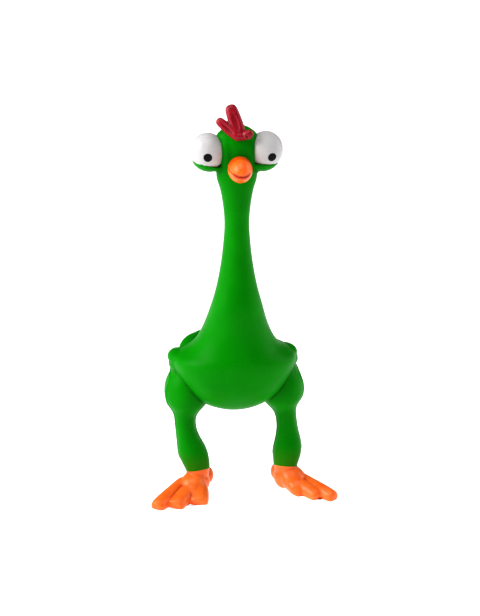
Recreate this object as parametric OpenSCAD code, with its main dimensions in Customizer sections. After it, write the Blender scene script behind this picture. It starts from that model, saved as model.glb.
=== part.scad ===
// Hollow rubber chicken that stands on its own two feet.
// The origin is on the floor in the middle of its footprint, +Z is up and the bird faces -Y, so its
// own left side is +X. One moulded skin is divided where it bends and where its colour changes, and
// a squeaker sits in a collar under the belly.

/* [Skin] */
// Thickness of the rubber skin
wall = 2; // [1.6:0.1:2.2]
// Clearance between stretches of skin that move past each other
gap = 0.3; // [0.25:0.05:0.5]

/* [Torso] */
// Height of the underside of the belly
belly_z = 48; // [47:0.5:49]
// Height where the torso hands over to the neck
shoulder_z = 108; // [106:0.5:109]
// How far the folded wing's elbow stands out of the flank
elbow_out = 2.8; // [1:0.1:3.5]
// How far the stub of the tail stands out of the back
tail_out = 2.8; // [0.5:0.1:3]
// Radius of the belly wall that a thumb presses in
press_r = 14; // [10:0.5:15]
// Height of the middle of that wall
press_z = 72; // [70:0.5:74]

/* [Neck and head] */
// Depth position of the neck's straight axis
neck_y = -12; // [-12.5:0.1:-11.5]
// Radius of the neck where it leaves the torso
neck_root_r = 13.7; // [13:0.1:14]
// Radius at the slimmest place of the neck
neck_slim_r = 6.5; // [6:0.1:7]
// Radius of the skull
skull_r = 9; // [8.6:0.1:9.3]
// Height of the crown
crown_z = 203; // [202:0.5:204]
// Radius of an eyeball
eye_r = 8.8; // [8.4:0.1:9]
// Distance of an eyeball's centre from the middle of the face
eye_x = 14.7; // [14:0.1:15]
// Height of the eyeballs' centres
eye_z = 191; // [190:0.5:192]
// Radius of a pupil
pupil_r = 2.2; // [1.5:0.1:2.5]
// Radius of the beak at its thickest
beak_r = 6.8; // [6.2:0.1:7.2]
// How far the beak's tip stands in front of the skull
beak_out = 10.5; // [8:0.5:12]

/* [Legs] */
// Distance of a hip's disc from the middle of the body
hip_x = 22; // [21.8:0.1:22.6]
// Height of the hips' turning axis
hip_z = 66; // [65:0.5:67]
// Radius of the round pocket that the top of a thigh turns in
hip_r = 16; // [15.8:0.1:16.5]
// Height where a thigh hands over to its shin
knee_z = 46; // [45:0.5:47]

/* [Squeaker] */
// Radius of the squeaker's barrel
squeaker_r = 9; // [8:0.1:9.5]
// Length of the barrel
squeaker_h = 9.4; // [9:0.1:11]

/* [Hidden] */

green = [0.0, 0.56, 0.05];
crimson = [0.66, 0.08, 0.18];
orange = [1.0, 0.42, 0.12];
eye_white = [0.9, 0.9, 0.9];
pupil_black = [0.03, 0.03, 0.04];
squeaker_white = [0.85, 0.86, 0.84];
reed_amber = [0.8, 0.62, 0.3];

LEFT = 1;
RIGHT = -1;
far = 60;            // longer than any cut that a cutting block has to make
sides = 32;          // corners of the torso's rings
limb_sides = 24;     // corners of the legs' rings
round_fn = 64;

// Heights where the neck's stretches meet
root_top_z = 117;
mid_low_z = 134;
mid_top_z = 142;
nape_low_z = 164;
nape_top_z = 172;

// Smooth curve through hand-set stations, each a list of numbers; steps is per pair of stations
function station(list, i) = list[max(0, min(len(list) - 1, i))];
function between(a, b, c, d, t) =
    0.5 * (2 * b + (c - a) * t + (2 * a - 5 * b + 4 * c - d) * t * t
           + (3 * b - a - 3 * c + d) * t * t * t);
function smooth(list, steps) = concat(
    [for (i = [0 : len(list) - 2], k = [0 : steps - 1])
        between(station(list, i - 1), list[i], list[i + 1], station(list, i + 2), k / steps)],
    [list[len(list) - 1]]);
function reversed(list) = [for (i = [len(list) - 1 : -1 : 0]) list[i]];

// Solid through rings of equal corner counts; looped joins the last ring to the first
module loft(rings, looped = false) {
    n = len(rings[0]);
    m = len(rings);
    spans = looped ? m : m - 1;
    polyhedron(
        points = [for (r = rings, p = r) p],
        faces = concat(
            [for (i = [0 : spans - 1], j = [0 : n - 1])
                let (k = (j + 1) % n, up = (i + 1) % m)
                [i * n + j, up * n + j, up * n + k, i * n + k]],
            looped ? [] : [[for (j = [0 : n - 1]) j],
                           [for (j = [n - 1 : -1 : 0]) (m - 1) * n + j]]),
        convexity = 8);
}

// ---- torso -------------------------------------------------------------------------------------

// Stations from the belly to the shoulder: height, half width, front of the breast, back
torso_stations = [
    [belly_z, 11, -13, 9],
    [50, 17.5, -17.5, 13.5],
    [56, 24, -22.5, 18.5],
    [64, 29.5, -26.5, 22.5],
    [73, 32.6, -28.5, 25.5],
    [79, 31.5, -28.5, 27.5],
    [84, 27.2, -28, 28.5],
    [90, 22, -27, 25],
    [98, 17, -26, 13],
    [shoulder_z, neck_root_r, neck_y - neck_root_r, neck_y + neck_root_r]];
elbow_z = 77;
elbow_spread = 4;      // height over which the elbow rises out of the flank
elbow_angle = 16;
tail_z = 86;
tail_spread = 5;
tail_angle = 14;
side_wall = 1.2 * wall;   // across the slope the skin still keeps its thickness

function bump(at, centre, spread) = exp(-pow((at - centre) / spread, 2));
function torso_ring(s) = [for (j = [0 : sides - 1])
    let (a = 360 * j / sides,
         side = abs(cos(a)),
         rear = sin(a),
         middle = (s[2] + s[3]) / 2,
         depth = (s[3] - s[2]) / 2,
         elbow = elbow_out * bump(s[0], elbow_z, elbow_spread) * bump(acos(side), 0, elbow_angle),
         tail = tail_out * bump(s[0], tail_z, tail_spread) * bump(a, 90, tail_angle))
    [cos(a) * s[1] + sign(cos(a)) * elbow, middle + rear * depth + tail, s[0]]];
function inner_station(s) = [s[0] + wall * max(0, (64 - s[0]) / (64 - belly_z)),
                             s[1] - side_wall, s[2] + side_wall, s[3] - side_wall];

module torso_solid() {
    loft([for (s = smooth(torso_stations, 3)) torso_ring(s)]);
}

module torso_skin() {
    outer = smooth(torso_stations, 3);
    loft(concat([for (s = outer) torso_ring(s)],
                [for (s = reversed(outer)) torso_ring(inner_station(s))]));
}

module press_zone(r) {
    translate([0, -far, press_z]) rotate([-90, 0, 0]) cylinder(r = r, h = far - 8, $fn = round_fn);
}

hip_y = -1.5;        // the hips' turning axis lies a little in front of the body's middle

module hip_pocket(side) {
    translate([side * (hip_x - gap), hip_y, hip_z]) rotate([0, side * 90, 0])
        cylinder(r = hip_r, h = far, $fn = round_fn);
}

// The squeaker's axis stands under the middle of the belly
squeaker_y = -2;
squeaker_z = belly_z + 0.6;
collar_wall = 1.7;

module torso_shell() {
    color(green)
    difference() {
        union() {
            torso_skin();
            translate([0, squeaker_y, belly_z + wall / 2])
                cylinder(r = squeaker_r + collar_wall, h = squeaker_h - wall / 2, $fn = round_fn);
        }
        translate([0, squeaker_y, belly_z - 1])
            cylinder(r = squeaker_r, h = squeaker_h + 2, $fn = round_fn);
        press_zone(press_r + gap);
        hip_pocket(LEFT);
        hip_pocket(RIGHT);
    }
}

module belly_panel() {
    color(green)
    intersection() {
        torso_skin();
        press_zone(press_r);
    }
}

// ---- neck --------------------------------------------------------------------------------------

// Stations of the neck: radius, height
neck_stations = [
    [neck_root_r, shoulder_z],
    [11.0, root_top_z],
    [9.2, 126],
    [7.9, mid_low_z],
    [7.2, mid_top_z],
    [neck_slim_r, 152],
    [7.4, nape_low_z],
    [8.5, nape_top_z]];

// A stretch of the neck's tube between two of its stations
module neck_tube(first, last) {
    outer = [for (p = smooth(neck_stations, 2)) if (p[1] >= first - 0.01 && p[1] <= last + 0.01) p];
    inner = [for (p = reversed(outer)) [p[0] - wall, p[1]]];
    color(green)
    translate([0, neck_y, 0])
        rotate_extrude($fn = round_fn) polygon(concat(outer, inner));
}

module neck_root_sleeve() { neck_tube(shoulder_z, root_top_z); }
module neck_lower() { neck_tube(root_top_z, mid_low_z); }
module neck_mid_sleeve() { neck_tube(mid_low_z, mid_top_z); }
module neck_upper() { neck_tube(mid_top_z, nape_low_z); }
module nape_sleeve() { neck_tube(nape_low_z, nape_top_z); }

// ---- head --------------------------------------------------------------------------------------

lid_wall = 0.9;      // the lower lid is a thin cup round the eyeball
lid_z = 184;         // height of the lid's edge
dome_h = 8;          // height of the crown's dome

// Outline of the skull from the nape to the crown, drawn in by inset
function skull_outline(inset) = concat(
    [[8.5 - inset, nape_top_z], [skull_r - inset, 177], [skull_r - inset, crown_z - dome_h]],
    [for (a = [15 : 15 : 75])
        [(skull_r - inset) * cos(a), crown_z - dome_h + (dome_h - inset) * sin(a)]],
    [[0, crown_z - inset]]);

module skull_solid() {
    translate([0, neck_y, 0])
        rotate_extrude($fn = round_fn) polygon(concat([[0, nape_top_z]], skull_outline(0)));
}

module at_eye(side) {
    translate([side * eye_x, neck_y, eye_z]) children();
}

module lower_lid(side) {
    intersection() {
        at_eye(side) sphere(r = eye_r + lid_wall, $fn = round_fn);
        translate([-far / 2, -far / 2 - 10, lid_z - far]) cube(far);
    }
}

module head_shell() {
    color(green)
    difference() {
        union() {
            translate([0, neck_y, 0])
                rotate_extrude($fn = round_fn)
                    polygon(concat(skull_outline(0), reversed(skull_outline(wall))));
            lower_lid(LEFT);
            lower_lid(RIGHT);
        }
        at_eye(LEFT) sphere(r = eye_r, $fn = round_fn);
        at_eye(RIGHT) sphere(r = eye_r, $fn = round_fn);
    }
}

// The comb is three round lobes that fan out of one place on the forehead: root, radius, tip, radius
comb_lobes = [
    [[1.2, -17, 200], 3.7, [-2.6, -13, 210.4], 3.4],
    [[0, -17, 200], 3.4, [-7.6, -13, 205], 2.7],
    [[2, -18, 199.8], 3.4, [4.6, -19.5, 200.2], 3.3]];

module comb() {
    color(crimson)
    difference() {
        union()
            for (lobe = comb_lobes)
                hull() {
                    translate(lobe[0]) sphere(r = lobe[1], $fn = 24);
                    translate(lobe[2]) sphere(r = lobe[3], $fn = 24);
                }
        skull_solid();
    }
}

// The beak is a short round nose with its mouth line below the middle
beak_z = 183.3;
mouth_z = 181.6;
beak_root_y = neck_y - skull_r + 3.5;

module beak_solid() {
    beak_tip_y = neck_y - skull_r - beak_out;
    length = beak_root_y - beak_tip_y;
    difference() {
        translate([0, beak_root_y, beak_z]) rotate([90, 0, 0])
            rotate_extrude($fn = round_fn)
                polygon(concat([[0, 0], [0.95 * beak_r, 0]],
                               [for (a = [0 : 15 : 75])
                                   [beak_r * cos(a), length * (0.3 + 0.7 * sin(a))]],
                               [[0, length]]));
        skull_solid();
    }
}

module upper_beak() {
    color(orange)
    intersection() {
        beak_solid();
        translate([-far / 2, -far, mouth_z]) cube(far);
    }
}

module lower_beak() {
    color(orange)
    intersection() {
        beak_solid();
        translate([-far / 2, -far, mouth_z - far]) cube(far);
    }
}

// ---- eyes --------------------------------------------------------------------------------------

pupil_depth = 0.6;     // how deep the pupil is let into the eyeball
pupil_proud = 0.15;    // how far it stands out of it
pupil_fn = 160;

// The pupils look forward, a little down and apart
module along_gaze(side) {
    at_eye(side) rotate([14, 0, side * 4]) rotate([90, 0, 0]) children();
}

module eyeball(side) {
    color(eye_white)
    difference() {
        at_eye(side) sphere(r = eye_r, $fn = round_fn);
        along_gaze(side) translate([0, 0, eye_r - pupil_depth])
            cylinder(r = pupil_r, h = far, $fn = pupil_fn);
    }
}

module pupil(side) {
    color(pupil_black)
    intersection() {
        along_gaze(side) translate([0, 0, eye_r - pupil_depth])
            cylinder(r = pupil_r, h = 2 * pupil_depth, $fn = pupil_fn);
        at_eye(side) sphere(r = eye_r + pupil_proud, $fn = pupil_fn);
    }
}

module left_eyeball() { eyeball(LEFT); }
module right_eyeball() { eyeball(RIGHT); }
module left_pupil() { pupil(LEFT); }
module right_pupil() { pupil(RIGHT); }

// ---- legs --------------------------------------------------------------------------------------

// Stations of the left leg from the thigh's crown down: centre x and y, height, radii across x and y
thigh_stations = [
    [26.2, 1, 79, 2.5, 3.5],
    [26.4, 1, 77.5, 5.5, 7.5],
    [26.8, 1, 72, 8.6, 11.5],
    [27.2, 0.5, 66, 9.6, 12.6],
    [27.4, -0.5, 60, 10.2, 12.4],
    [27.5, -2, 54, 9.4, 10.6],
    [27.7, -3, 49, 7.2, 7.6],
    [27.7, -3.5, knee_z, 5.6, 5.8]];
left_shin_stations = [
    [27.7, -3.5, knee_z, 5.6, 5.8],
    [28.3, -4, 40, 5.3, 5.6],
    [29.1, -4.5, 33, 5.5, 5.6],
    [29.1, -5, 26, 6.8, 6.6]];
right_shin_stations = [
    [27.7, -3.5, knee_z, 5.6, 5.8],
    [27.7, -4, 40, 5.3, 5.6],
    [26.6, -4.5, 33, 5.6, 5.6],
    [24.2, -5, 26, 6.9, 6.6]];
// The ankles bulge; the right one leans in under the body
ankle_top_z = 26;
sole_top_z = 13;
left_ankle_stations = [
    [29.1, -5, ankle_top_z, 6.8, 6.6],
    [28.9, -5.5, 21, 7.9, 7.4],
    [28.4, -6, 17, 7.7, 7.4],
    [27.4, -6.5, sole_top_z, 7.1, 7]];
right_ankle_stations = [
    [24.2, -5, ankle_top_z, 6.9, 6.6],
    [22.9, -5.5, 21, 8.1, 7.4],
    [22.2, -6, 17, 8.1, 7.4],
    [20.6, -6.5, sole_top_z, 7.3, 7]];

function limb_ring(side, s, inset) = [for (j = [0 : limb_sides - 1])
    let (a = 360 * j / limb_sides)
    [side * s[0] + (s[3] - inset) * cos(a), s[1] + (s[4] - inset) * sin(a), s[2]]];

// Open tube of skin through stations listed from the top down
module limb_tube(side, stations, steps) {
    up = reversed(smooth(stations, steps));
    color(green)
    loft(concat([for (s = up) limb_ring(side, s, 0)],
                [for (s = reversed(up)) limb_ring(side, s, wall)]), looped = true);
}

// The lining of a thigh sinks under its crown by the skin's thickness
function lining_station(s) =
    s - [0, 0, wall * max(0, s[2] - hip_z) / (thigh_stations[0][2] - hip_z), 0, 0];

// Hollow drumstick: closed round the top, open to the shin, cut flat where it meets the torso
module thigh(side) {
    up = reversed(smooth(thigh_stations, 2));
    lined = [for (s = reversed(up)) if (s[3] > 2.5 * wall) lining_station(s)];
    color(green)
    difference() {
        loft(concat([for (s = lined) limb_ring(side, s, wall)],
                    [for (s = up) limb_ring(side, s, 0)]));
        translate([side * (hip_x - far / 2) - far / 2, -far / 2, 0]) cube([far, far, 2 * far]);
    }
}

module left_thigh() { thigh(LEFT); }
module right_thigh() { thigh(RIGHT); }
module left_shin() { limb_tube(LEFT, left_shin_stations, 2); }
module right_shin() { limb_tube(RIGHT, right_shin_stations, 2); }
module left_ankle() { limb_tube(LEFT, left_ankle_stations, 2); }
module right_ankle() { limb_tube(RIGHT, right_ankle_stations, 2); }

// ---- feet --------------------------------------------------------------------------------------

// Toes of a foot: where each one's pad ends on the floor, and the hind toe last
left_toes = [[33.4, -17.5], [41.6, -24], [46.2, -27.3]];
left_hind_toe = [24, -0.5];
right_toes = [[22.8, -20.5], [35, -24], [44.8, -24]];
right_hind_toe = [14.5, 1];
toe_tip_r = 4.3;
toe_root_r = 6.4;
toe_tip_z = 2.2;
toe_root_z = 4.8;
hind_r = 4.2;
hind_z = 3.8;

module foot(side, ankle, toes, hind_toe) {
    heel = [side * ankle[0], ankle[1]];
    color(orange)
    difference() {
        union() {
            for (toe = toes)
                hull() {
                    translate([heel[0], heel[1] - 2, toe_root_z])
                        sphere(r = toe_root_r, $fn = 24);
                    translate([side * toe[0], toe[1], toe_tip_z])
                        sphere(r = toe_tip_r, $fn = 24);
                }
            hull() {
                translate([heel[0], heel[1], toe_root_z]) sphere(r = toe_root_r, $fn = 24);
                translate([side * hind_toe[0], hind_toe[1], hind_z]) sphere(r = hind_r, $fn = 24);
            }
            translate([heel[0], heel[1], 0])
                cylinder(r1 = toe_root_r, r2 = ankle[3], h = sole_top_z, $fn = round_fn);
        }
        translate([-far, -far, -far]) cube([2 * far, 2 * far, far]);
    }
}

module left_foot() { foot(LEFT, left_ankle_stations[3], left_toes, left_hind_toe); }
module right_foot() { foot(RIGHT, right_ankle_stations[3], right_toes, right_hind_toe); }

// ---- squeaker ----------------------------------------------------------------------------------

cup_wall = 1.4;
cup_floor = 1.2;
plate_z = squeaker_z + 4;
plate_h = 1;
cap_h = 1.2;
vent_r = 1;
vent_ring_r = 4.5;
reed_l = 8;
reed_w = 2.2;
reed_h = 0.4;
slot_margin = 0.35;
reed_root_y = squeaker_y + reed_l / 2;

module squeaker_cup() {
    color(squeaker_white)
    translate([0, squeaker_y, squeaker_z])
    difference() {
        cylinder(r = squeaker_r, h = squeaker_h, $fn = round_fn);
        translate([0, 0, cup_floor])
            cylinder(r = squeaker_r - cup_wall, h = squeaker_h, $fn = round_fn);
        translate([0, 0, -1]) cylinder(r = 2 * vent_r, h = cup_floor + 2, $fn = round_fn);
    }
}

module squeaker_plate() {
    color(squeaker_white)
    difference() {
        translate([0, squeaker_y, plate_z])
            cylinder(r = squeaker_r - cup_wall, h = plate_h, $fn = round_fn);
        translate([-reed_w / 2 - slot_margin, squeaker_y - reed_l / 2 - slot_margin, plate_z - 1])
            cube([reed_w + 2 * slot_margin, reed_l + 2 * slot_margin, plate_h + 2]);
    }
}

module squeaker_reed() {
    color(reed_amber)
    translate([-reed_w / 2, reed_root_y - reed_l, plate_z + (plate_h - reed_h) / 2])
        cube([reed_w, reed_l, reed_h]);
}

module squeaker_cap() {
    color(squeaker_white)
    translate([0, squeaker_y, squeaker_z + squeaker_h - cap_h])
    difference() {
        cylinder(r = squeaker_r - cup_wall, h = cap_h, $fn = round_fn);
        for (a = [0 : 60 : 300])
            rotate(a) translate([vent_ring_r, 0, -1])
                cylinder(r = vent_r, h = cap_h + 2, $fn = round_fn);
    }
}

torso_shell();
belly_panel();
neck_root_sleeve();
neck_lower();
neck_mid_sleeve();
neck_upper();
nape_sleeve();
head_shell();
comb();
upper_beak();
lower_beak();
left_eyeball();
right_eyeball();
left_pupil();
right_pupil();
left_thigh();
right_thigh();
left_shin();
right_shin();
left_ankle();
right_ankle();
left_foot();
right_foot();
squeaker_cup();
squeaker_plate();
squeaker_reed();
squeaker_cap();
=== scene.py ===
"""Looks of a standing rubber chicken: a squeaky bird moulded in latex.

The green skin is sculpted whole and then divided where the toy bends, so that it has no step at
rest and none in any pose. The painted parts and the squeaker are pieces of their own.
"""

import logging
import math
from dataclasses import dataclass
from enum import Enum
from typing import Sequence

import bpy
import numpy as np
from mathutils import Matrix, Vector


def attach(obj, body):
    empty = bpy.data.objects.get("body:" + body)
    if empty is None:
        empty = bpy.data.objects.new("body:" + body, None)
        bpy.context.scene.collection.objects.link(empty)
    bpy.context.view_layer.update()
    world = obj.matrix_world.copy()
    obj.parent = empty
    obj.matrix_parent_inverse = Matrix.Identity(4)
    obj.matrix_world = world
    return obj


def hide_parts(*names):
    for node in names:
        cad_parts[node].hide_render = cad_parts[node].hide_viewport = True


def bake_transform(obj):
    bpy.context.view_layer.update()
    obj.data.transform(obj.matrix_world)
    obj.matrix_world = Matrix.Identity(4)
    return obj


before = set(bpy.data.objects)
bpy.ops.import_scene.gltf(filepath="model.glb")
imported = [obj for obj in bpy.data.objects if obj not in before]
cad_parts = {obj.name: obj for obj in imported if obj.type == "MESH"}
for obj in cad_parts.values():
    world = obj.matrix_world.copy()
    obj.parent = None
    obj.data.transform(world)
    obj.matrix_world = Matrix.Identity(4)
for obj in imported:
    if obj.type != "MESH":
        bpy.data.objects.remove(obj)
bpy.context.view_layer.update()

MM = 0.001
# the attribute by which materials darken: painted shade in hollows and creases, and on the painted
# parts also paint pooled there
SHADE_AND_POOLING = "hollow"
LOG = logging.getLogger("rubber_chicken")


class Side(Enum):
    """The bird's own left and right; the value is the sign of X."""

    LEFT = 1
    RIGHT = -1

    @property
    def word(self) -> str:
        """The side's name as it stands in the names of nodes."""
        return self.name.lower()


@dataclass(frozen=True)
class Ring:
    """One oval cross-section of a grown form, in millimetres.

    Args:
        x, y, z: the middle of the oval.
        rx, ry: its half widths across X and Y.
    """

    x: float
    y: float
    z: float
    rx: float
    ry: float


def mm(x: float, y: float, z: float) -> Vector:
    """A point or size given in millimetres, in metres."""
    return Vector((x, y, z)) * MM


# --- Modelling by operators ---


def only(obj: bpy.types.Object) -> bpy.types.Object:
    """Makes obj the one selected and active object."""
    bpy.ops.object.select_all(action="DESELECT")
    obj.select_set(True)
    bpy.context.view_layer.objects.active = obj
    return obj


def settle(obj: bpy.types.Object) -> bpy.types.Object:
    """Puts the object's place, turn and scale into its mesh."""
    only(obj)
    bpy.ops.object.transform_apply(location=True, rotation=True, scale=True)
    return obj


def finish_with(obj: bpy.types.Object, kind: str, **settings: object) -> bpy.types.Object:
    """Adds one modifier with its settings and applies it.

    Args:
        obj: the piece.
        kind: Blender's name for the modifier.
        settings: the modifier's properties.
    Returns:
        The same piece.
    """
    only(obj)
    modifier = obj.modifiers.new(kind.title(), kind)
    for name, value in settings.items():
        setattr(modifier, name, value)
    bpy.ops.object.modifier_apply(modifier=modifier.name)
    return obj


def grow(name: str, rings: Sequence[Ring], sides: int = 32, levels: int = 2) -> bpy.types.Object:
    """Grows a closed form ring by ring: a disc is extruded, moved and scaled from oval to oval.

    Args:
        name: the new object's name.
        rings: the ovals in order along Z.
        sides: corners of each oval.
        levels: rounds of subdivision that smooth it.
    Returns:
        The closed mesh object.
    """
    first = rings[0]
    bpy.ops.object.select_all(action="DESELECT")
    bpy.ops.mesh.primitive_circle_add(
        vertices=sides, radius=MM, fill_type="NGON", location=mm(first.x, first.y, first.z)
    )
    obj = settle(bpy.context.object)
    obj.name = name
    bpy.ops.object.mode_set(mode="EDIT")
    bpy.ops.mesh.select_mode(type="FACE")
    bpy.ops.mesh.select_all(action="SELECT")
    bpy.ops.transform.resize(
        value=(first.rx, first.ry, 1), center_override=mm(first.x, first.y, first.z)
    )
    for last, now in zip(rings, rings[1:]):
        centre = mm(now.x, now.y, now.z)
        bpy.ops.mesh.extrude_region_move(
            TRANSFORM_OT_translate={"value": centre - mm(last.x, last.y, last.z)}
        )
        bpy.ops.transform.resize(
            value=(now.rx / last.rx, now.ry / last.ry, 1), center_override=centre
        )
    bpy.ops.mesh.select_all(action="SELECT")
    bpy.ops.mesh.normals_make_consistent(inside=False)
    bpy.ops.object.mode_set(mode="OBJECT")
    return finish_with(obj, "SUBSURF", levels=levels, render_levels=levels)


def ball(
    name: str,
    centre: Vector,
    radii: tuple[float, float, float],
    turn: tuple[float, float, float] = (0, 0, 0),
) -> bpy.types.Object:
    """Adds an ellipsoid, the start of a rounded form.

    Args:
        name: the new object's name.
        centre: its middle, in metres.
        radii: half sizes in millimetres along its own axes.
        turn: Euler angles in degrees.
    Returns:
        The mesh object, with its place in its mesh.
    """
    bpy.ops.object.select_all(action="DESELECT")
    bpy.ops.mesh.primitive_uv_sphere_add(
        segments=48,
        ring_count=32,
        radius=MM,
        location=centre,
        rotation=[math.radians(a) for a in turn],
        scale=radii,
    )
    obj = settle(bpy.context.object)
    obj.name = name
    return obj


def aim(
    obj: bpy.types.Object, root: Vector, direction: Vector, back: Vector = Vector((0, 0, 1))
) -> bpy.types.Object:
    """Turns a form grown up Z at the origin to a direction, and moves it to its root.

    Args:
        obj: the form.
        root: where its origin goes, in metres.
        direction: where its Z goes.
        back: where its Y goes, as nearly as the direction allows.
    Returns:
        The same form, in place.
    """
    along = direction.normalized()
    across = back.cross(along).normalized()
    turn = Matrix((across, along.cross(across), along)).transposed().to_4x4()
    obj.matrix_world = Matrix.Translation(root) @ turn
    return settle(obj)


def carve(obj: bpy.types.Object, tool: bpy.types.Object, operation: str) -> bpy.types.Object:
    """Cuts or keeps what a tool shape holds, and throws the tool away."""
    finish_with(obj, "BOOLEAN", object=tool, operation=operation, solver="EXACT")
    bpy.data.objects.remove(tool)
    return obj


def fuse(name: str, forms: Sequence[bpy.types.Object], voxel: float) -> bpy.types.Object:
    """Joins forms that pass into each other and melts them into one closed skin.

    Args:
        name: the name of the result.
        forms: closed meshes that overlap.
        voxel: size of the cells in millimetres.
    Returns:
        The one mesh that is left.
    """
    only(forms[0])
    for form in forms:
        form.select_set(True)
    bpy.ops.object.join()
    obj = bpy.context.object
    obj.name = name
    return finish_with(obj, "REMESH", mode="VOXEL", voxel_size=voxel * MM)


def trim(obj: bpy.types.Object, point: Vector, normal: Vector) -> bpy.types.Object:
    """Cuts away what lies beyond a plane and closes the cut.

    Args:
        obj: a closed mesh.
        point: a point of the plane.
        normal: the plane's normal, pointing at the part that goes.
    Returns:
        The same mesh, closed.
    """
    only(obj)
    bpy.ops.object.mode_set(mode="EDIT")
    bpy.ops.mesh.select_all(action="SELECT")
    bpy.ops.mesh.bisect(plane_co=point, plane_no=normal, use_fill=True, clear_outer=True)
    bpy.ops.object.mode_set(mode="OBJECT")
    return obj


def halves(
    obj: bpy.types.Object, point: Vector, normal: Vector, far_name: str
) -> tuple[bpy.types.Object, bpy.types.Object]:
    """Divides a closed mesh by a plane into two closed ones.

    Args:
        obj: the mesh, which stays as the part behind the plane.
        point: a point of the plane.
        normal: the plane's normal, pointing at the far part.
        far_name: the name of the far part.
    Returns:
        The near part and the far part.
    """
    far = twin(obj, far_name)
    return trim(obj, point, normal), trim(far, point, -normal)


def twin(obj: bpy.types.Object, name: str) -> bpy.types.Object:
    """A copy of a piece with a mesh of its own."""
    copy = obj.copy()
    copy.data = obj.data.copy()
    copy.name = name
    bpy.context.scene.collection.objects.link(copy)
    return copy


def places(obj: bpy.types.Object) -> np.ndarray:
    """The places of all vertices, one row each, in metres."""
    flat = np.empty(len(obj.data.vertices) * 3)
    obj.data.vertices.foreach_get("co", flat)
    return flat.reshape(-1, 3)


def mark_hollows(obj: bpy.types.Object, depth: float, rounds: int = 30) -> bpy.types.Object:
    """Stores how far each point lies below the smoothed form, for the painted shade that darkens
    there and, on the painted parts, the paint that pools there.

    Args:
        obj: the piece, with its final mesh.
        depth: the hollow in millimetres that counts as full.
        rounds: rounds of smoothing that even out the hollows.
    Returns:
        The same piece with the attribute.
    """
    even = finish_with(twin(obj, "even"), "SMOOTH", factor=0.5, iterations=rounds)
    normals = np.empty(len(obj.data.vertices) * 3)
    obj.data.vertices.foreach_get("normal", normals)
    rise = ((places(even) - places(obj)) * normals.reshape(-1, 3)).sum(1)
    bpy.data.objects.remove(even)
    stored = obj.data.attributes.new(SHADE_AND_POOLING, "FLOAT", "POINT")
    stored.data.foreach_set("value", np.clip(rise / (depth * MM), 0, 1).astype(np.float32))
    return obj


def dress(
    obj: bpy.types.Object, material: bpy.types.Material, nodes: Sequence[str]
) -> bpy.types.Object:
    """Gives a finished piece its material and the nodes that it stands for."""
    obj.data.materials.clear()
    obj.data.materials.append(material)
    obj.data.shade_smooth()
    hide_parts(*nodes)
    LOG.info("%s: %d faces, stands for %s", obj.name, len(obj.data.polygons), ", ".join(nodes))
    return obj


# --- Materials ---


def linear(code: str) -> tuple[float, float, float, float]:
    """Turns an sRGB hex colour into Blender's linear one."""
    parts = [int(code[i : i + 2], 16) / 255 for i in (1, 3, 5)]
    line = [c / 12.92 if c <= 0.04045 else ((c + 0.055) / 1.055) ** 2.4 for c in parts]
    return (line[0], line[1], line[2], 1.0)


def add_node(
    tree: bpy.types.NodeTree, kind: str, values: dict | None = None, links: dict | None = None
) -> bpy.types.Node:
    """Adds a node, sets its properties or inputs, and links other sockets into it.

    Args:
        tree: the material's node tree.
        kind: the node's type name.
        values: node properties by name, or input values by the input's name or number.
        links: output sockets by the name or number of the input they feed.
    Returns:
        The new node.
    """
    made = tree.nodes.new(kind)
    for key, value in (values or {}).items():
        if isinstance(key, str) and hasattr(made, key):
            setattr(made, key, value)
        else:
            made.inputs[key].default_value = value
    for key, socket in (links or {}).items():
        tree.links.new(socket, made.inputs[key])
    return made


@dataclass(frozen=True)
class Finish:
    """Shared start of every finish: one Principled surface with Object coordinates.

    Args:
        name: the real material and how its surface was made.
        roughness: how dull it is.
        ior: index of refraction.
        shine: how much the surface mirrors; 0.5 is a bare clean surface.
    """

    name: str
    roughness: float
    ior: float
    shine: float = 0.3

    def start(self) -> tuple[bpy.types.Material, bpy.types.Node, bpy.types.NodeSocket]:
        """Makes the material with its shader.

        Returns:
            The material, its Principled node, and the Object coordinates.
        """
        material = bpy.data.materials.new(self.name)
        material.use_nodes = True
        tree = material.node_tree
        shader = tree.nodes["Principled BSDF"]
        shader.inputs["IOR"].default_value = self.ior
        shader.inputs["Specular IOR Level"].default_value = self.shine
        shader.inputs["Roughness"].default_value = self.roughness
        place = add_node(tree, "ShaderNodeTexCoord").outputs["Object"]
        return material, shader, place


def noise(
    tree: bpy.types.NodeTree, place: bpy.types.NodeSocket, size: float, detail: float = 3.0
) -> bpy.types.NodeSocket:
    """Soft random pattern whose blotches are about size millimetres across."""
    made = add_node(
        tree,
        "ShaderNodeTexNoise",
        {"Scale": 1.0 / (size * MM), "Detail": detail, "Roughness": 0.55},
        {"Vector": place},
    )
    return made.outputs["Fac"]


def ramp(
    tree: bpy.types.NodeTree,
    factor: bpy.types.NodeSocket,
    stops: Sequence[tuple[float, tuple[float, float, float, float]]],
) -> bpy.types.NodeSocket:
    """Colours a value by stops of (position, linear colour)."""
    made = add_node(tree, "ShaderNodeValToRGB", links={"Fac": factor})
    elements = made.color_ramp.elements
    while len(elements) < len(stops):
        elements.new(0.5)
    for element, (position, colour) in zip(elements, stops):
        element.position = position
        element.color = colour
    return made.outputs["Color"]


def spread(
    tree: bpy.types.NodeTree,
    factor: bpy.types.NodeSocket,
    source: tuple[float, float],
    target: tuple[float, float],
    kind: str = "SMOOTHSTEP",
) -> bpy.types.NodeSocket:
    """Spreads a value's range over a target range, eased unless kind is LINEAR."""
    values = {1: source[0], 2: source[1], 3: target[0], 4: target[1], "interpolation_type": kind}
    return add_node(tree, "ShaderNodeMapRange", values, {"Value": factor}).outputs["Result"]


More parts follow.
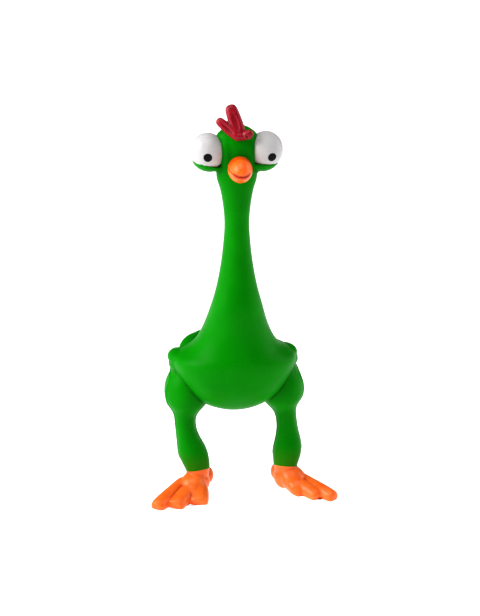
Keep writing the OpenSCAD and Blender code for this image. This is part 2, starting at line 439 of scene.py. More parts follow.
def blend_colours(
    tree: bpy.types.NodeTree,
    factor: bpy.types.NodeSocket,
    first: bpy.types.NodeSocket | tuple,
    second: bpy.types.NodeSocket | tuple,
) -> bpy.types.NodeSocket:
    """Mixes two colours, each a socket or a linear colour, by a factor."""
    made = tree.nodes.new("ShaderNodeMix")
    made.data_type = "RGBA"
    tree.links.new(factor, made.inputs[0])
    for number, colour in ((6, first), (7, second)):
        if isinstance(colour, bpy.types.NodeSocket):
            tree.links.new(colour, made.inputs[number])
        else:
            made.inputs[number].default_value = colour
    return made.outputs[2]


def raise_surface(
    tree: bpy.types.NodeTree,
    shader: bpy.types.Node,
    layers: Sequence[tuple[bpy.types.NodeSocket, float]],
) -> None:
    """Chains bump layers of (height from 0 to 1, depth in millimetres) into the shader."""
    normal = None
    for height, depth in layers:
        links = {"Height": height}
        if normal is not None:
            links["Normal"] = normal
        made = add_node(tree, "ShaderNodeBump", {"Strength": 1.0, "Distance": depth * MM}, links)
        normal = made.outputs["Normal"]
    tree.links.new(normal, shader.inputs["Normal"])


@dataclass(frozen=True)
class MouldedLatex(Finish):
    """Latex coloured through and cast in a plaster mould: satin and faintly uneven.

    Args:
        base, deep, pale: the colour, its darker clouds and its chalky bloom, as sRGB hex.
        crease: the painted shade that darkens the folds between thigh, wing and belly, as sRGB
            hex.
        overspray: the brownish mist of foot paint round the ankles, as sRGB hex.
    """

    name: str = "latex_cast_satin"
    roughness: float = 0.42
    ior: float = 1.52
    shine: float = 0.05
    base: str = "#058402"
    deep: str = "#017C01"
    pale: str = "#0C8C04"
    crease: str = "#004600"
    overspray: str = "#4A5C00"

    def make(self) -> bpy.types.Material:
        """Builds the material: clouded colour, painted shade in the folds, pore bump, and
        overspray at the ankles.
        """
        material, shader, place = self.start()
        tree = material.node_tree
        clouds = noise(tree, place, 22.0, 2.0)
        colour = ramp(
            tree,
            clouds,
            [(0.3, linear(self.deep)), (0.55, linear(self.base)), (0.8, linear(self.pale))],
        )
        # painted shade: the green darkens towards the crease colour where the form lies below its
        # smoothed self, in the folds between thigh, wing and belly
        fold = add_node(tree, "ShaderNodeAttribute", {"attribute_name": SHADE_AND_POOLING}).outputs["Fac"]
        painted_crease_shade = spread(tree, fold, (0.1, 0.9), (0.0, 0.75))
        colour = blend_colours(tree, painted_crease_shade, colour, linear(self.crease))
        height = add_node(tree, "ShaderNodeSeparateXYZ", links={"Vector": place}).outputs["Z"]
        mist = spread(tree, height, (0.027, 0.015), (0.0, 0.7))
        speckle = add_node(
            tree,
            "ShaderNodeMath",
            {"operation": "MULTIPLY"},
            {0: mist, 1: noise(tree, place, 1.6, 4.0)},
        ).outputs["Value"]
        colour = blend_colours(tree, speckle, colour, linear(self.overspray))
        tree.links.new(colour, shader.inputs["Base Color"])
        target = (self.roughness - 0.05, self.roughness + 0.06)
        gloss = spread(tree, noise(tree, place, 9.0, 4.0), (0.3, 0.7), target, "LINEAR")
        tree.links.new(gloss, shader.inputs["Roughness"])
        # the pores of the plaster are 0.3 mm across, drawn at 0.7 mm so that they show
        raise_surface(
            tree,
            shader,
            [(noise(tree, place, 0.7, 2.0), 0.012), (noise(tree, place, 7.0, 2.0), 0.12)],
        )
        return material


@dataclass(frozen=True)
class RubberPaint(Finish):
    """Flexible paint brushed over the latex: glossier, darker where the form is hollow, as pooled
    paint and as painted shade, and with brush unevenness.

    Args:
        light, mid, dark: the paint where it is thin and usual, and where it darkens in hollows as
            pooled paint and painted shade, as sRGB hex.
        cloud: size of its patches in millimetres.
        hollow: how strongly hollows of the form darken with pooled paint and painted shade, from 0
            to 1.
    """

    light: str = "#FFFFFF"
    mid: str = "#DDDDDD"
    dark: str = "#888888"
    cloud: float = 5.0
    hollow: float = 0.0

    def make(self) -> bpy.types.Material:
        """Builds the material: patchy paint that darkens in the hollows of the form, pooled there
        and painted as shade.
        """
        material, shader, place = self.start()
        tree = material.node_tree
        colour = ramp(
            tree,
            noise(tree, place, self.cloud, 3.0),
            [(0.32, linear(self.mid)), (0.7, linear(self.light))],
        )
        # painted shade, with pooled paint: the colour darkens towards the dark one in the hollows
        # of the form
        if self.hollow > 0:
            depth = add_node(
                tree, "ShaderNodeAttribute", {"attribute_name": SHADE_AND_POOLING}
            ).outputs["Fac"]
            pooled_and_shaded = spread(tree, depth, (0.08, 0.75), (0.0, self.hollow))
            colour = blend_colours(tree, pooled_and_shaded, colour, linear(self.dark))
        tree.links.new(colour, shader.inputs["Base Color"])
        target = (self.roughness - 0.06, self.roughness + 0.08)
        gloss = spread(tree, noise(tree, place, 3.0, 4.0), (0.3, 0.7), target, "LINEAR")
        tree.links.new(gloss, shader.inputs["Roughness"])
        raise_surface(
            tree,
            shader,
            [(noise(tree, place, 0.8, 2.0), 0.012), (noise(tree, place, 3.5, 2.0), 0.1)],
        )
        return material


@dataclass(frozen=True)
class MouldedPolythene(Finish):
    """Natural polyethylene, injection moulded: waxy, cloudy and faintly textured.

    Args:
        tint: its colour, as sRGB hex.
        shade: the cloudier patches, as sRGB hex.
    """

    name: str = "polyethylene_moulded"
    roughness: float = 0.45
    ior: float = 1.51
    tint: str = "#E4E3DC"
    shade: str = "#CFCEC5"

    def make(self) -> bpy.types.Material:
        """Builds the material: two near whites in clouds, with a fine grain."""
        material, shader, place = self.start()
        tree = material.node_tree
        colour = ramp(
            tree,
            noise(tree, place, 4.0),
            [(0.35, linear(self.shade)), (0.65, linear(self.tint))],
        )
        tree.links.new(colour, shader.inputs["Base Color"])
        raise_surface(tree, shader, [(noise(tree, place, 0.5, 2.0), 0.01)])
        return material


class Finishes:
    """All the finishes of the toy, each made once."""

    def __init__(self) -> None:
        """Makes every material."""
        self.skin = MouldedLatex().make()
        self.comb = RubberPaint(
            name="rubber_paint_crimson_brushed",
            roughness=0.36,
            ior=1.5,
            light="#A61229",
            mid="#86091C",
            dark="#420006",
            cloud=2.5,
            hollow=0.9,
        ).make()
        self.beak = RubberPaint(
            name="rubber_paint_orange_sprayed",
            roughness=0.3,
            ior=1.5,
            light="#FF7424",
            mid="#FC6418",
            dark="#B42A00",
            cloud=6.0,
            hollow=0.85,
        ).make()
        self.feet = RubberPaint(
            name="rubber_paint_orange_dipped",
            roughness=0.3,
            ior=1.5,
            light="#FF7A30",
            mid="#F9691E",
            dark="#C43002",
            cloud=7.0,
            hollow=0.8,
        ).make()
        # dark: a pinkish grey painted as shade in the eye's hollows; the eyeballs carry no hollow
        # marks, so it does not show
        self.eye = RubberPaint(
            name="rubber_paint_white_gloss",
            roughness=0.26,
            ior=1.5,
            shine=0.2,
            light="#C6C4C4",
            mid="#C0BEBE",
            dark="#9C9391",
            cloud=9.0,
            hollow=0.5,
        ).make()
        self.pupil = RubberPaint(
            name="rubber_paint_black_gloss",
            roughness=0.22,
            ior=1.5,
            shine=0.12,
            light="#0C0C0E",
            mid="#060607",
            dark="#000000",
            cloud=2.0,
        ).make()
        self.plastic = MouldedPolythene().make()
        self.reed = MouldedPolythene(
            name="polyester_film_cut", roughness=0.25, ior=1.57, tint="#E0B668", shade="#C89A4C"
        ).make()


# --- The skin: trunk, legs and feet ---


@dataclass
class Trunk:
    """Belly, breast, neck and skull, grown as one tube, with the folded wings and the tail.

    Args:
        middle: the neck's depth position, in millimetres.
        neck: heights and half widths across X and Y, from the shoulder to the crown.
    """

    middle: float = -12.0
    neck: tuple[tuple[float, float, float], ...] = (
        (108, 13.6, 13.6),
        (117, 10.9, 11.0),
        (126, 9.2, 9.3),
        (134, 7.9, 8.1),
        (142, 7.1, 7.2),
        (150, 6.4, 6.5),
        (157, 6.6, 6.7),
        (163, 7.3, 7.2),
        (168, 8.1, 7.6),
        (172, 9.0, 7.9),
        (175.5, 10.4, 8.1),
        (179, 10.9, 8.2),
        (183, 9.6, 8.1),
        (189, 8.8, 8.0),
        (194, 10.0, 7.7),
        (197.6, 11.3, 7.0),
        (200.2, 9.8, 6.1),
        (202.9, 6.0, 4.2),
        (204.2, 2.0, 1.6),
    )

    def rings(self) -> list[Ring]:
        """Ovals from the belly's underside to the crown."""
        body = [
            Ring(0, -2, 47.8, 4, 4),
            Ring(0, -2, 48.0, 9.8, 9.5),
            Ring(0, -2, 49.6, 14.8, 12.6),
            Ring(0, -2, 52, 19.8, 16.6),
            Ring(0, -2, 57, 24.6, 21),
            Ring(0, -2, 63, 28.6, 25),
            Ring(0, -1.5, 69, 31.8, 26.8),
            Ring(0, -1.5, 74, 33.6, 27.4),
            Ring(0, -3.2, 77.6, 33.0, 25.9),
            Ring(0, -5.0, 80.2, 28.8, 23.7),
            Ring(0, -5.8, 83, 24.2, 22.0),
            Ring(0, -6.5, 86.5, 21.6, 20.6),
            Ring(0, -7.2, 90, 19.5, 19),
            Ring(0, -8.5, 98, 16.2, 16.6),
        ]
        return body + [Ring(0, self.middle, z, rx, ry) for z, rx, ry in self.neck]

    def wing(self, side: Side) -> list[bpy.types.Object]:
        """The folded wing: an elbow that the breast flares into, a pad and three quill tips.

        The left wing is moulded a little closer to the body than the right one.
        """
        s = side.value
        word = side.word
        tuck = 0.0 if side is Side.RIGHT else 1.6
        shelf = ball(
            f"wing_shelf_{word}",
            mm(s * (30.4 - 0.7 * tuck), 1.0, 76.0),
            (5.3, 8.0, 3.7),
            (0, s * 3, 0),
        )
        elbow = ball(f"wing_elbow_{word}", mm(s * 29.4, 1.8, 72.0), (5.7, 8.5, 4.6))
        pad = ball(
            f"wing_pad_{word}",
            mm(s * (20.6 - tuck), 15.8, 77.0 - 0.8 * tuck),
            (5.6, 12, 5.0),
            (4, 0, s * 32),
        )
        quills = [
            ball(
                f"quill_{word}_{i}",
                mm(s * (17.5 - 2.5 * i), 21.5 + 1.6 * i, 79 - 4.2 * i),
                (3.0, 8.5 - i, 2.7),
                (8, 0, s * 48),
            )
            for i in range(3)
        ]
        return [shelf, elbow, pad, *quills]

    def tail(self) -> list[bpy.types.Object]:
        """The stub of the tail: three short feathers that point up and back."""
        fan = []
        for i in (-1, 0, 1):
            feather = grow(
                f"tail_feather_{i + 1}",
                [
                    Ring(0, 0, 0, 3.6, 3),
                    Ring(0, 0, 5, 4, 3.2),
                    Ring(0, 0, 9, 3.2, 2.6),
                    Ring(0, 0, 11, 1.4, 1.2),
                ],
                sides=16,
            )
            fan.append(aim(feather, mm(3.4 * i, 16.0, 82.5), Vector((0.32 * i, 0.75, 0.5))))
        return fan

    def lid(self, side: Side) -> bpy.types.Object:
        """The lower lid: a cup under the eyeball that runs down into the neck."""
        s = side.value
        reach, rise = (13.1, 0.0) if side is Side.LEFT else (13.7, 0.24)
        cup = ball(f"lid_{side.word}", mm(s * reach, -11.9, 189.2), (9.9, 8.9, 9.9 - 3 * rise))
        return trim(cup, mm(s * 14, -12, 184.2), Vector((s * -rise, 0.02, 1)))

    def brow(self, side: Side) -> bpy.types.Object:
        """The upright edge of the face that holds the eyeball from the inside."""
        return ball(f"brow_{side.word}", mm(side.value * 5.6, -13.9, 190.4), (4.2, 5.4, 9.8))

    def forms(self) -> list[bpy.types.Object]:
        """Every form that melts into the trunk."""
        made = [grow("trunk", self.rings())]
        made += self.tail()
        for side in Side:
            made += self.wing(side)
            made += [self.lid(side), self.brow(side)]
        return made


@dataclass
class Leg:
    """A drumstick, its shin, the bulging ankle and the foot with three toes and a hind toe.

    Args:
        side: which of the two legs.
        column: ovals from the thigh's crown down to the ankle, for a leg on the +X side.
        heel: the foot's root under the ankle.
        paint: height of the paint's edge at the heel.
        toes: root and pad of each front toe on the floor, and half its width.
        hind: the middle of the hind toe.
    """

    side: Side
    column: tuple[tuple[float, float, float, float, float], ...]
    heel: tuple[float, float]
    paint: float
    toes: tuple[tuple[float, float, float, float, float], ...]
    hind: tuple[float, float, float]

    thigh = (
        (26.2, 0.5, 76, 2.0, 3.0),
        (26.4, 0.5, 74, 5.0, 7.0),
        (26.8, 0.5, 69, 6.4, 10.6),
        (27.0, 0.4, 64, 9.3, 12.4),
        (27.0, -0.2, 59.5, 10.9, 12.9),
        (26.4, -1.2, 55, 11.6, 12.2),
        (26.0, -2.2, 51.2, 11.2, 10.8),
        (25.9, -2.8, 48.2, 8.8, 8.8),
        (26.9, -3.3, 44.8, 5.9, 6.3),
    )

    def paint_edge(self) -> Vector:
        """A point on the line where the green skin meets the orange paint."""
        return mm(self.side.value * self.heel[0], self.heel[1], self.paint)

    def paint_slope(self) -> Vector:
        """The direction across that line: down, with the line rising in front and inwards."""
        return Vector((self.side.value * -0.12, -0.3, -1)).normalized()

    def stem(self) -> bpy.types.Object:
        """Thigh, shin and ankle as one column."""
        s = self.side.value
        rings = [Ring(s * x, y, z, rx, ry) for x, y, z, rx, ry in self.thigh + self.column]
        return grow(f"stem_{self.side.word}", rings, sides=24)

    def toe(
        self, number: int, from_x: float, from_y: float, x: float, y: float, half: float
    ) -> bpy.types.Object:
        """One front toe: a blunt flat-ended finger from under the ankle to its pad."""
        s = self.side.value
        root = mm(s * from_x, from_y, 5.4)
        tip = mm(s * x, y, 1.8)
        length = (tip - root).length / MM
        finger = grow(
            f"toe_{self.side.word}_{number}",
            [
                Ring(0, 0, -1, 3.0, 3.4),
                Ring(0, 0, 2, 4.0, 4.2),
                Ring(0, 0, length * 0.45, half, 4.3),
                Ring(0, 0, length * 0.8, half + 0.2, 4.3),
                Ring(0, 0, length + 0.8, half + 0.2, 4.1),
                Ring(0, 0, length + 3.4, half - 0.1, 3.6),
                Ring(0, 0, length + 4.4, half - 0.8, 2.9),
            ],
            sides=20,
        )
        return aim(finger, root, tip - root)

    def forms(self) -> list[bpy.types.Object]:
        """Every form that melts into the leg."""
        s = self.side.value
        word = self.side.word
        made = [self.stem()]
        made += [self.toe(i, *toe) for i, toe in enumerate(self.toes)]
        hind_x, hind_y, hind_z = self.hind
        made.append(ball(f"hind_toe_{word}", mm(s * hind_x, hind_y, hind_z), (3.8, 4.6, 4.9)))
        reach = np.array(self.toes)[:, 2:4].mean(0)
        fan = math.degrees(math.atan2(reach[0] - self.heel[0], self.heel[1] - reach[1]))
        for name, share, z, radii, tilt in (
            ("palm", 0.26, 6.2, (7.0, 8.2, 6.2), 26),
            ("web", 0.5, 3.6, (7.4, 7.0, 4.6), 16),
        ):
            x, y = (1 - share) * np.array(self.heel) + share * reach
            made.append(ball(f"{name}_{word}", mm(s * x, y, z), radii, (tilt, 0, s * fan)))
        made.append(ball(f"heel_{word}", mm(s * self.heel[0], self.heel[1], 6.0), (6.6, 6.4, 7.6)))
        return made


@dataclass
class Skin:
    """The green moulding with its orange feet: sculpted whole, then divided where it bends.

    Args:
        trunk: the body, neck and head form.
        legs: the two legs.
        finishes: the materials.
        voxel: size of the sculpting cells in millimetres.
        low, middle, high: heights of the three cuts through the neck.
        shin: height of the cut above the ankle.
        hole: radius of the opening for the squeaker.
    """

    trunk: Trunk
    legs: Sequence[Leg]
    finishes: Finishes
    voxel: float = 0.62
    low: float = 104.0
    middle: float = 127.0
    high: float = 153.0
    shin: float = 32.0
    hole: float = 9.05

    def softness(self, place: np.ndarray) -> np.ndarray:
        """How much each point is smoothed: fully on the body, less at the toes and the lids."""
        x, z = np.abs(place[:, 0]) / MM, place[:, 2] / MM
        foot = np.clip((z - 10) / 14, 0, 1)
        lid = 1 - np.clip((z - 180) / 3, 0, 1) * np.clip((x - 9) / 3, 0, 1)
        return np.minimum(0.3 + 0.7 * foot, 0.2 + 0.8 * lid)

    def sculpt(self) -> bpy.types.Object:
        """Melts every form into one closed skin, smooths it and levels the soles."""
        forms = self.trunk.forms()
        for leg in self.legs:
            forms += leg.forms()
        skin = fuse("skin_whole", forms, self.voxel)
        group = skin.vertex_groups.new(name="softness")
        weights = np.round(self.softness(places(skin)), 2)
        for weight in np.unique(weights):
            group.add(np.flatnonzero(weights == weight).tolist(), float(weight), "REPLACE")
        finish_with(skin, "SMOOTH", factor=0.5, iterations=14, vertex_group=group.name)
        skin.vertex_groups.clear()
        # painted shade: marks the creases between thigh, wing and belly and between the toes,
        # where the green and the foot paint darken
        mark_hollows(skin, 0.9, 180)
        self.raise_parting(skin)
        trim(skin, mm(0, 0, 0), Vector((0, 0, -1)))
        skin.data.shade_smooth()
        return skin

    def raise_parting(self, skin: bpy.types.Object) -> None:
        """Lifts the thin ridge that the two halves of the mould leave down each side."""
        place = places(skin)
        normals = np.empty(len(place) * 3)
        skin.data.vertices.foreach_get("normal", normals)
        x, y, z = (place / MM).T
        wing = np.clip((z - 63) / 9, 0, 1)
        plane = -4.5 + 12.0 * wing * wing * (3 - 2 * wing)
        height = 0.5 * np.exp(-(((y - plane) / 0.6) ** 2))
        height *= np.clip((np.abs(x) - 14) / 3, 0, 1) * np.clip((94 - z) / 8, 0, 1)
        height *= np.clip((z - 16) / 4, 0, 1)
        place += normals.reshape(-1, 3) * height[:, None] * MM
        skin.data.vertices.foreach_set("co", place.ravel())
        skin.data.update()

    def part(self, whole: bpy.types.Object, obj: bpy.types.Object) -> bpy.types.Object:
        """Shades a part with the normals of the whole skin, so that no cut shows."""
        obj.data.shade_smooth()
        return finish_with(
            obj,
            "DATA_TRANSFER",
            object=whole,
            use_loop_data=True,
            data_types_loops={"CUSTOM_NORMAL"},
            loop_mapping="POLYINTERP_NEAREST",
        )

    def build(self) -> list[bpy.types.Object]:
        """Sculpts the skin, divides it, and gives each part its material and the nodes that it
        stands for.
        """
        whole = self.sculpt()
        torso = twin(whole, "skin_torso")
        up = Vector((0, 0, 1))
        parts = []
        _, ankles = halves(torso, mm(0, 0, self.shin), -up, "skin_ankles")
        for leg in self.legs:
            parts += self.divide_leg(whole, torso, ankles, leg)
        bpy.data.objects.remove(ankles)
        _, root = halves(torso, mm(0, 0, self.low), up, "skin_neck_root")
        _, neck = halves(root, mm(0, 0, self.middle), up, "skin_neck_mid")
        _, head = halves(neck, mm(0, 0, self.high), up, "skin_head")
        hole = self.squeaker_hole()
        for piece in (torso, root, neck, head):
            self.part(whole, piece)
        carve(torso, hole, "DIFFERENCE")
        green = self.finishes.skin
        dress(torso, green, ["torso_shell", "belly_panel"])
        dress(root, green, ["neck_root_sleeve", "neck_lower"])
        dress(neck, green, ["neck_mid_sleeve", "neck_upper"])
        dress(head, green, ["nape_sleeve", "head_shell"])
        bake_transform(torso)
        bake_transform(root)
        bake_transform(neck)
        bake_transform(head)
        bpy.data.objects.remove(whole)
        return [torso, root, neck, head, *parts]

    def divide_leg(
        self,
        whole: bpy.types.Object,
        torso: bpy.types.Object,
        ankles: bpy.types.Object,
        leg: Leg,
    ) -> list[bpy.types.Object]:
        """Takes one leg off the trunk, its ankle off the pair, and divides foot from ankle."""
        s, word = leg.side.value, leg.side.word
        hip = mm(s * 15, 0, 50)
        outward = Vector((s * 26, 0, -22)).normalized()
        _, upper = halves(torso, hip, outward, f"skin_{word}_leg")
        _, ankle = halves(ankles, mm(0, 0, 0), Vector((s, 0, 0)), f"skin_{word}_ankle")
        _, foot = halves(ankle, leg.paint_edge(), leg.paint_slope(), f"{word}_foot_painted")
        for piece in (upper, ankle, foot):
            self.part(whole, piece)
        green = self.finishes.skin
        dress(upper, green, [f"{word}_thigh", f"{word}_shin"])
        dress(ankle, green, [f"{word}_ankle"])
        dress(foot, self.finishes.feet, [f"{word}_foot"])
        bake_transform(upper)
        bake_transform(ankle)
        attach(foot, f"{word}_toes")
        return [upper, ankle, foot]

    def squeaker_hole(self) -> bpy.types.Object:
        """The round opening in the belly's underside that holds the squeaker."""
        bpy.ops.object.select_all(action="DESELECT")
        bpy.ops.mesh.primitive_cylinder_add(
            vertices=96, radius=self.hole * MM, depth=26 * MM, location=mm(0, -2, 46.5)
        )
        hole = settle(bpy.context.object)
        hole.name = "squeaker_hole"
        return hole


# --- The head's details ---


@dataclass(frozen=True)
class Lobe:
    """One finger of the comb.

    Args:
        root, tip: its ends in millimetres.
        half: half its width near the tip.
        thick: half its thickness.
        dent: depth of the spoon hollow in front.
    """

    root: tuple[float, float, float]
    tip: tuple[float, float, float]
    half: float
    thick: float
    dent: float


@dataclass
class Comb:
    """The crimson comb: a tall lobe, a slim one that leans out, and a small round one.

    Args:
        finish: its paint.
        lobes: the three fingers.
    """

    finish: bpy.types.Material
    lobes: tuple[Lobe, ...] = (
        Lobe((1.2, -18.2, 198.6), (-2.7, -13.4, 211.2), 3.5, 2.4, 0.95),
        Lobe((0.0, -18.6, 198.6), (-8.4, -14.2, 205.8), 2.5, 2.1, 0.95),
        Lobe((3.6, -18.9, 199.5), (4.9, -19.4, 200.5), 2.5, 2.4, 0.7),
    )

    def finger(self, number: int, lobe: Lobe) -> bpy.types.Object:
        """One lobe, round at its tip and spooned out in front."""
        root, tip = mm(*lobe.root), mm(*lobe.tip)
        length = (tip - root).length / MM
        h, t = lobe.half, lobe.thick
        form = grow(
            f"comb_lobe_{number}",
            [
                Ring(0, 0, -1.2, h * 0.6, t * 0.6),
                Ring(0, 0, 0, h * 0.9, t),
                Ring(0, 0, length * 0.4, h * 1.08, t),
                Ring(0, 0, length * 0.8, h, t * 0.95),
                Ring(0, 0, length + h * 0.35, h * 0.93, t * 0.88),
                Ring(0, 0, length + h * 0.78, h * 0.72, t * 0.65),
                Ring(0, 0, length + h * 1.02, h * 0.34, t * 0.3),
            ],
            sides=20,
        )
        return aim(form, root, tip - root, Vector((0, 1, 0)))

    def spoon(self, number: int, lobe: Lobe) -> bpy.types.Object:
        """The shape that hollows the front of a lobe."""
        root, tip = mm(*lobe.root), mm(*lobe.tip)
        along = tip - root
        dent = ball(f"spoon_{number}", mm(0, 0, 0), (lobe.half * 0.66, 2.0, 1))
        only(dent)
        bpy.ops.transform.resize(value=(1, 1, along.length / MM * 0.5))
        settle(dent)
        across = Vector((0, -1, 0))
        front = (across - across.project(along)).normalized() * (lobe.thick + 2.0 - lobe.dent) * MM
        return aim(dent, root + along * 0.62 + front, along, Vector((0, 1, 0)))

    def build(self) -> bpy.types.Object:
        """Models the comb and sets it on the head."""
        fingers = [self.finger(i, lobe) for i, lobe in enumerate(self.lobes)]
        base = ball("comb_base", mm(1.0, -18.2, 199.3), (4.5, 2.4, 2.2), (0, 4, 0))
        comb = fuse("comb_painted", [*fingers, base], 0.3)
        for i, lobe in enumerate(self.lobes):
            carve(comb, self.spoon(i, lobe), "DIFFERENCE")
        finish_with(comb, "REMESH", mode="VOXEL", voxel_size=0.26 * MM)
        finish_with(comb, "SMOOTH", factor=0.5, iterations=5)
        # painted shade, with pooled paint: the lobes' spooned fronts and the roots between them
        # darken
        mark_hollows(comb, 0.22, 40)
        dress(comb, self.finish, ["comb"])
        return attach(comb, "head")


@dataclass
class Beak:
    """The round orange beak, divided by a smiling mouth.

    Args:
        finish: its paint.
        centre: the middle of its ball, in millimetres.
        radii: its half sizes.
        smile: height of the centre of the mouth's arc, and the arc's radius.
    """

    finish: bpy.types.Material
    centre: tuple[float, float, float] = (0.4, -21.0, 182.8)
    radii: tuple[float, float, float] = (6.2, 10.0, 6.7)
    smile: tuple[float, float] = (189.4, 8.2)

    def arc(self, radius: float) -> bpy.types.Object:
        """A cylinder through the head whose lower wall is the smile."""
        bpy.ops.object.select_all(action="DESELECT")
        bpy.ops.mesh.primitive_cylinder_add(
            vertices=192,
            radius=radius * MM,
            depth=60 * MM,
            location=mm(self.centre[0], -20, self.smile[0]),
            rotation=(math.radians(90), 0, 0),
        )
        return settle(bpy.context.object)

    def half(
        self, name: str, node: str, operation: str, radius: float, inset: float
    ) -> bpy.types.Object:
        """One half of the beak, with its lip rounded over.

        Args:
            name: the piece.
            node: the node it stands for.
            operation: what the arc does with the ball.
            radius: the arc's radius in millimetres.
            inset: how far its front stands back.
        """
        x, y, z = self.centre
        rx, ry, rz = self.radii
        body = ball(name, mm(x, y, z), (rx, ry - inset, rz - inset * 0.4))
        carve(body, self.arc(radius), operation)
        finish_with(body, "REMESH", mode="VOXEL", voxel_size=0.26 * MM)
        finish_with(body, "SMOOTH", factor=0.5, iterations=14)
        self.mark_mouth_and_root_shade(body)
        dress(body, self.finish, [node])
        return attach(body, "head")

    def mark_mouth_and_root_shade(self, body: bpy.types.Object) -> None:
        """Stores where the paint is darker: along the mouth, as painted shade in the gap between
        the halves with paint pooled there, and round the beak's root, as painted shade under the
        face.
        """
        x, y, z = (places(body) / MM - np.array([self.centre[0], 0, self.smile[0]])).T
        # darker along the mouth: painted shade in the gap between the halves, with paint pooled
        # there
        lip = np.clip(1.7 - np.abs(np.hypot(x, z) - self.smile[1] - 0.2) / 0.8, 0, 1)
        lip *= np.clip((4.9 - np.abs(x)) / 1.4, 0, 1) * np.clip(-z - 3, 0, 1)
        # painted shade: a darker band over the top of the beak's root, under the face
        root = 0.45 * np.clip((y + 26.4) / 2.2, 0, 1) * np.clip((z + 6.5) / 3, 0, 1)
        stored = body.data.attributes.new(SHADE_AND_POOLING, "FLOAT", "POINT")
        stored.data.foreach_set("value", np.maximum(lip, root).astype(np.float32))

    def build(self) -> list[bpy.types.Object]:
        """Models both halves."""
        radius = self.smile[1]
        return [
            self.half("upper_beak_painted", "upper_beak", "INTERSECT", radius, 0.0),
            self.half("lower_beak_painted", "lower_beak", "DIFFERENCE", radius + 0.2, 0.3),
        ]


@dataclass
class Eye:
    """A bulging eyeball with a flush black pupil.

    Args:
        side: which eye.
        white, black: its two paints.
        gaze: where the pupil looks, for an eye on the +X side.
        centre: the middle of the eyeball, in millimetres, for the +X side.
        radii: its half sizes.
        pupil: the pupil's radius.
    """

    side: Side
    white: bpy.types.Material
    black: bpy.types.Material
    gaze: tuple[float, float, float]
    centre: tuple[float, float, float] = (14.9, -12.0, 190.7)
    radii: tuple[float, float, float] = (8.9, 9.0, 9.4)
    pupil: float = 2.2

    def build(self) -> list[bpy.types.Object]:
        """Models the eyeball and the pupil painted on it."""
        s, word = self.side.value, self.side.word
        centre = mm(s * self.centre[0], self.centre[1], self.centre[2])
        eyeball = finish_with(
            ball(f"{word}_eyeball_painted", centre, self.radii), "SUBSURF", levels=1
        )
        skin = tuple(r + 0.12 for r in self.radii)
        film = finish_with(ball(f"{word}_pupil_painted", centre, skin), "SUBSURF", levels=2)
        look = Vector((s * self.gaze[0], self.gaze[1], self.gaze[2])).normalized()
        bpy.ops.object.select_all(action="DESELECT")
        bpy.ops.mesh.primitive_cylinder_add(vertices=96, radius=self.pupil * MM, depth=6 * MM)
        rod = aim(settle(bpy.context.object), centre + look * 9.4 * MM, look)
        carve(film, rod, "INTERSECT")
        finish_with(film, "BEVEL", width=0.05 * MM, segments=2, limit_method="ANGLE")
        dress(eyeball, self.white, [f"{word}_eyeball"])
        dress(film, self.black, [f"{word}_pupil"])
        return [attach(eyeball, "head"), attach(film, "head")]


# --- The squeaker, the studio and the view ---


@dataclass
class Squeaker:
    """The plastic squeaker under the belly, shown by its own parts with their finishes.

    Args:
        plastic: the moulded parts' material.
        film: the reed's material.
    """

    plastic: bpy.types.Material
    film: bpy.types.Material

    def dress(self) -> None:
        """Gives each squeaker part its material."""
        for name in ("squeaker_cup", "squeaker_plate", "squeaker_cap", "squeaker_reed"):
            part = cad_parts[name]
            material = self.film if name == "squeaker_reed" else self.plastic
            part.data.materials.clear()
            part.data.materials.append(material)
            LOG.info("%s: kept, with %s", name, material.name)


@dataclass
class Studio:
    """A white floor that runs out of view, and large soft lights.

    Args:
        reach: half the floor's side, in metres.
        softbox: the side of a softbox, in metres.
    """

    reach: float = 6.0
    softbox: float = 0.8

    def floor(self) -> bpy.types.Object:
        """The pale floor, faintly lit through from below."""
        bpy.ops.object.select_all(action="DESELECT")
        bpy.ops.mesh.primitive_plane_add(size=2 * self.reach, location=(0, 2, 0))
        floor = settle(bpy.context.object)
        floor.name = "studio_floor"
        material = bpy.data.materials.new("acrylic_sheet_white")
        material.use_nodes = True
        tree = material.node_tree
        shader = tree.nodes["Principled BSDF"]
        place = add_node(tree, "ShaderNodeTexCoord").outputs["Object"]
        colour = ramp(
            tree,
            noise(tree, place, 300.0),
            [(0.4, linear("#A8A8A8")), (0.6, linear("#ADADAD"))],
        )
        tree.links.new(colour, shader.inputs["Base Color"])
        shader.inputs["Roughness"].default_value = 0.7
        shader.inputs["Emission Color"].default_value = (1, 1, 1, 1)
        shader.inputs["Emission Strength"].default_value = 0.97
        floor.data.materials.append(material)
        return floor

    def lamp(
        self,
        name: str,
        place: tuple[float, float, float],
        target: tuple[float, float, float],
        power: float,
    ) -> bpy.types.Object:
        """A square softbox.

        Args:
            name: the light's name.
            place, target: where it stands and points, in metres.
            power: watts.
        """
        data = bpy.data.lights.new(name, "AREA")
        data.shape = "SQUARE"
        data.size = self.softbox
        data.energy = power
        lamp = bpy.data.objects.new(name, data)
        bpy.context.scene.collection.objects.link(lamp)
        lamp.location = place
        aimed = Vector(target) - Vector(place)
        lamp.rotation_euler = aimed.to_track_quat("-Z", "Y").to_euler()
        return lamp

    def build(self) -> None:
        """Sets up the floor, the white surroundings and the softboxes."""
        self.floor()
        world = bpy.data.worlds.new("studio_white")
        world.use_nodes = True
        background = world.node_tree.nodes["Background"]
        background.inputs["Color"].default_value = (1, 1, 1, 1)
        background.inputs["Strength"].default_value = 0.1
        bpy.context.scene.world = world
        middle = (0, -0.01, 0.12)
        self.lamp("softbox_left", (-1.0, -0.12, 0.65), middle, 14.2)
        self.lamp("softbox_right", (1.0, 0.05, 0.5), middle, 4.5)
        self.lamp("softbox_top", (-0.15, -0.2, 1.2), middle, 5.5)
        bpy.context.scene.view_settings.view_transform = "Standard"
        bpy.context.scene.view_settings.look = "Medium High Contrast"


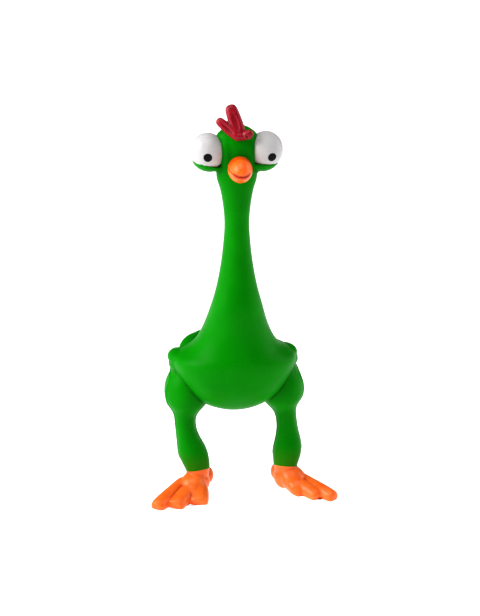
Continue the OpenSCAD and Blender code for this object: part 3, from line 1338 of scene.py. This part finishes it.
@dataclass
class View:
    """The camera: a long lens, a little above the toy and slightly off its front.

    Args:
        target: the point it looks at, in millimetres.
        azimuth, elevation: where it stands, in degrees.
        distance: how far, in millimetres.
        lens: focal length for a frame 36 mm high.
    """

    target: tuple[float, float, float] = (0.8, -18.0, 108.0)
    azimuth: float = -8.0
    elevation: float = 19.0
    distance: float = 900.0
    lens: float = 101.15

    def build(self) -> bpy.types.Object:
        """Makes the camera the scene's own."""
        turn, rise = math.radians(self.azimuth), math.radians(self.elevation)
        out = Vector(
            (math.sin(turn) * math.cos(rise), -math.cos(turn) * math.cos(rise), math.sin(rise))
        )
        data = bpy.data.cameras.new("view")
        data.sensor_fit = "VERTICAL"
        data.sensor_height = 36.0
        data.lens = self.lens
        data.clip_end = 50.0
        camera = bpy.data.objects.new("view", data)
        bpy.context.scene.collection.objects.link(camera)
        camera.location = mm(*self.target) + out * self.distance * MM
        camera.rotation_euler = (-out).to_track_quat("-Z", "Y").to_euler()
        bpy.context.scene.camera = camera
        return camera


LEGS = (
    Leg(
        side=Side.LEFT,
        column=(
            (28.0, -4.0, 40, 5.2, 5.8),
            (28.6, -4.5, 33, 5.4, 5.8),
            (28.9, -5.0, 26, 7.1, 6.9),
            (28.7, -5.5, 21, 8.1, 7.7),
            (28.0, -6.0, 16.5, 7.4, 7.4),
            (27.3, -6.4, 12, 6.5, 6.9),
            (27.2, -6.6, 7, 5.0, 5.0),
        ),
        heel=(27.6, -6.6),
        paint=12.1,
        toes=(
            (27.0, -7.8, 33.0, -17.4, 4.1),
            (29.0, -8.5, 39.9, -23.2, 3.8),
            (32.0, -6.0, 48.0, -26.0, 3.7),
        ),
        hind=(24.2, 0.6, 5.4),
    ),
    Leg(
        side=Side.RIGHT,
        column=(
            (27.3, -4.0, 40, 5.2, 5.8),
            (26.3, -4.5, 33, 5.5, 5.8),
            (24.0, -5.0, 26, 7.3, 6.9),
            (22.8, -5.5, 21, 8.3, 7.7),
            (21.6, -6.0, 16.5, 7.5, 7.4),
            (20.4, -6.4, 12, 6.4, 6.9),
            (20.6, -6.6, 7, 5.0, 5.0),
        ),
        heel=(20.8, -6.8),
        paint=12.8,
        toes=(
            (20.0, -8.5, 21.8, -21.0, 5.2),
            (22.8, -8.5, 33.3, -24.1, 4.7),
            (27.5, -6.0, 42.9, -24.2, 4.1),
        ),
        hind=(14.9, 1.6, 5.4),
    ),
)


def main() -> None:
    """Builds the toy piece by piece, then the studio and the view."""
    logging.basicConfig(level=logging.INFO, format="%(message)s")
    finishes = Finishes()
    Skin(Trunk(), LEGS, finishes).build()
    Comb(finishes.comb).build()
    Beak(finishes.beak).build()
    Eye(Side.RIGHT, finishes.eye, finishes.pupil, gaze=(0.9, -8.0, -1.2)).build()
    Eye(Side.LEFT, finishes.eye, finishes.pupil, gaze=(1.9, -8.0, -2.1)).build()
    Squeaker(finishes.plastic, finishes.reed).dress()
    Studio().build()
    View().build()


if __name__ == "__main__":
    main()
